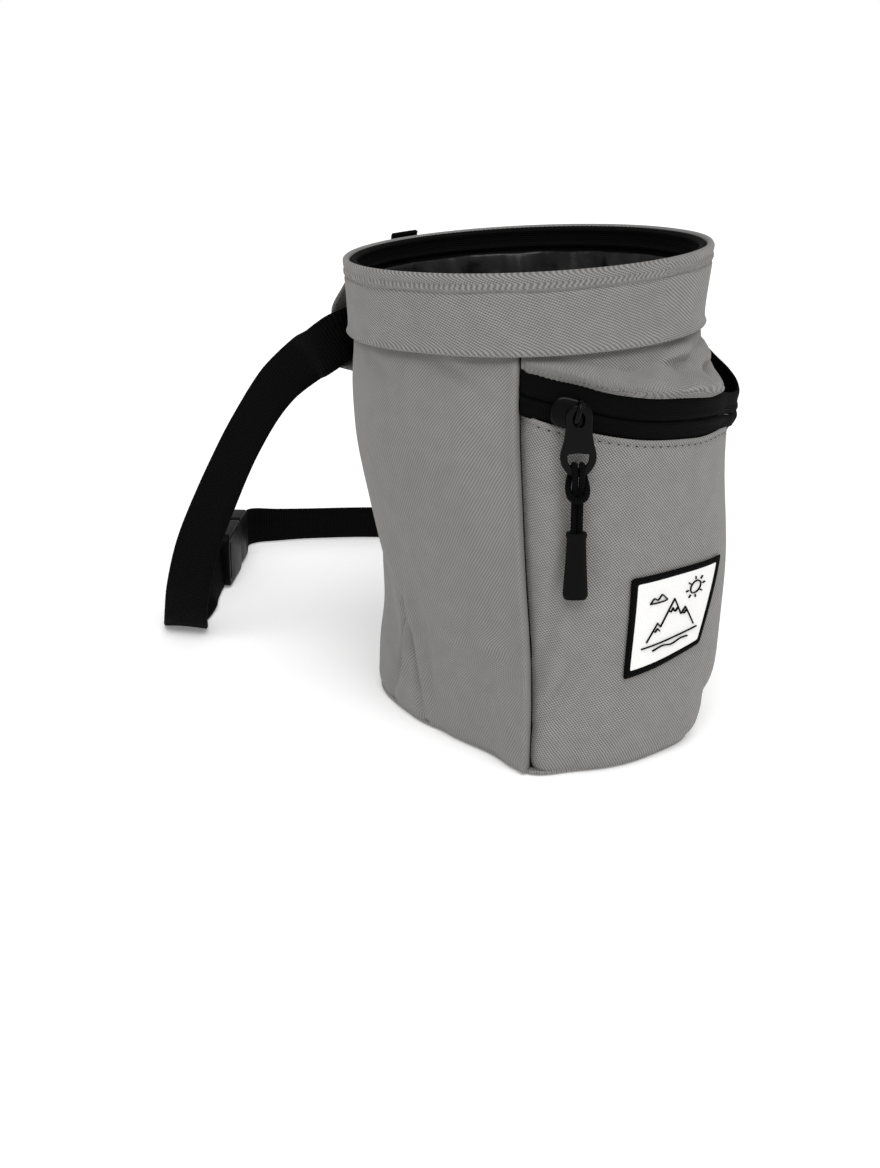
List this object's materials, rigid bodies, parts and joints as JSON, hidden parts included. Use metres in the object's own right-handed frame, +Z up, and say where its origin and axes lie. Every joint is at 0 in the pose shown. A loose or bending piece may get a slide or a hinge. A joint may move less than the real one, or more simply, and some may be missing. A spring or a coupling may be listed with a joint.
{
  "type": "climbing chalk bag with a zipped front pocket and a buckled waist belt",
  "caption": "Grey cloth climbing chalk bag with a stiff round collar, zipped front pocket, sewn patch and black webbing waist belt.",
  "frame": {"origin": "on the floor, at the middle of the flat base, below the bag's body", "axes": "+Z up out of the mouth, -Y out of the zipped front pocket, +X to the right of a viewer who faces the pocket"},
  "size_m": [0.1983, 0.3279, 0.1875],
  "materials": {
    "grey_cloth": "matt woven twill",
    "black_nylon": "smooth, slightly shiny nylon",
    "black_webbing": "matt ribbed webbing",
    "black_plastic": "smooth, half gloss",
    "black_rubber": "matt",
    "white_cloth": "matt with a plain printed design"
  },
  "bodies": {
    "bag": {"base_panel": "grey_cloth", "side_back_panel": "grey_cloth", "upper_front_panel": "grey_cloth", "pocket_panel": "grey_cloth", "rim_collar": "grey_cloth", "rim_facing": "black_nylon", "lining": "black_nylon", "closure_skirt": "black_nylon", "zip_tape_upper": "black_webbing", "zip_tape_lower": "black_webbing", "patch_border": "black_webbing", "patch_field": "white_cloth", "zip_slider": "black_plastic", "belt_tunnel": "grey_cloth", "belt_left": "black_webbing", "belt_right": "black_webbing", "buckle_socket": "black_plastic", "buckle_plug": "black_plastic", "rim_tab": "black_webbing"},
    "zip_pull": {"zip_pull_tab": "black_plastic", "zip_pull_cord": "black_nylon", "zip_pull_grip": "black_rubber"}
  },
  "joints": [
    {"name": "zip_pull_swing", "type": "hinge", "parent": "bag", "child": "zip_pull", "pos_m": [-0.04411, -0.05206, 0.13841], "axis": [-0.7627, 0.6467, 0], "range_deg": [0, 70]}
  ]
}
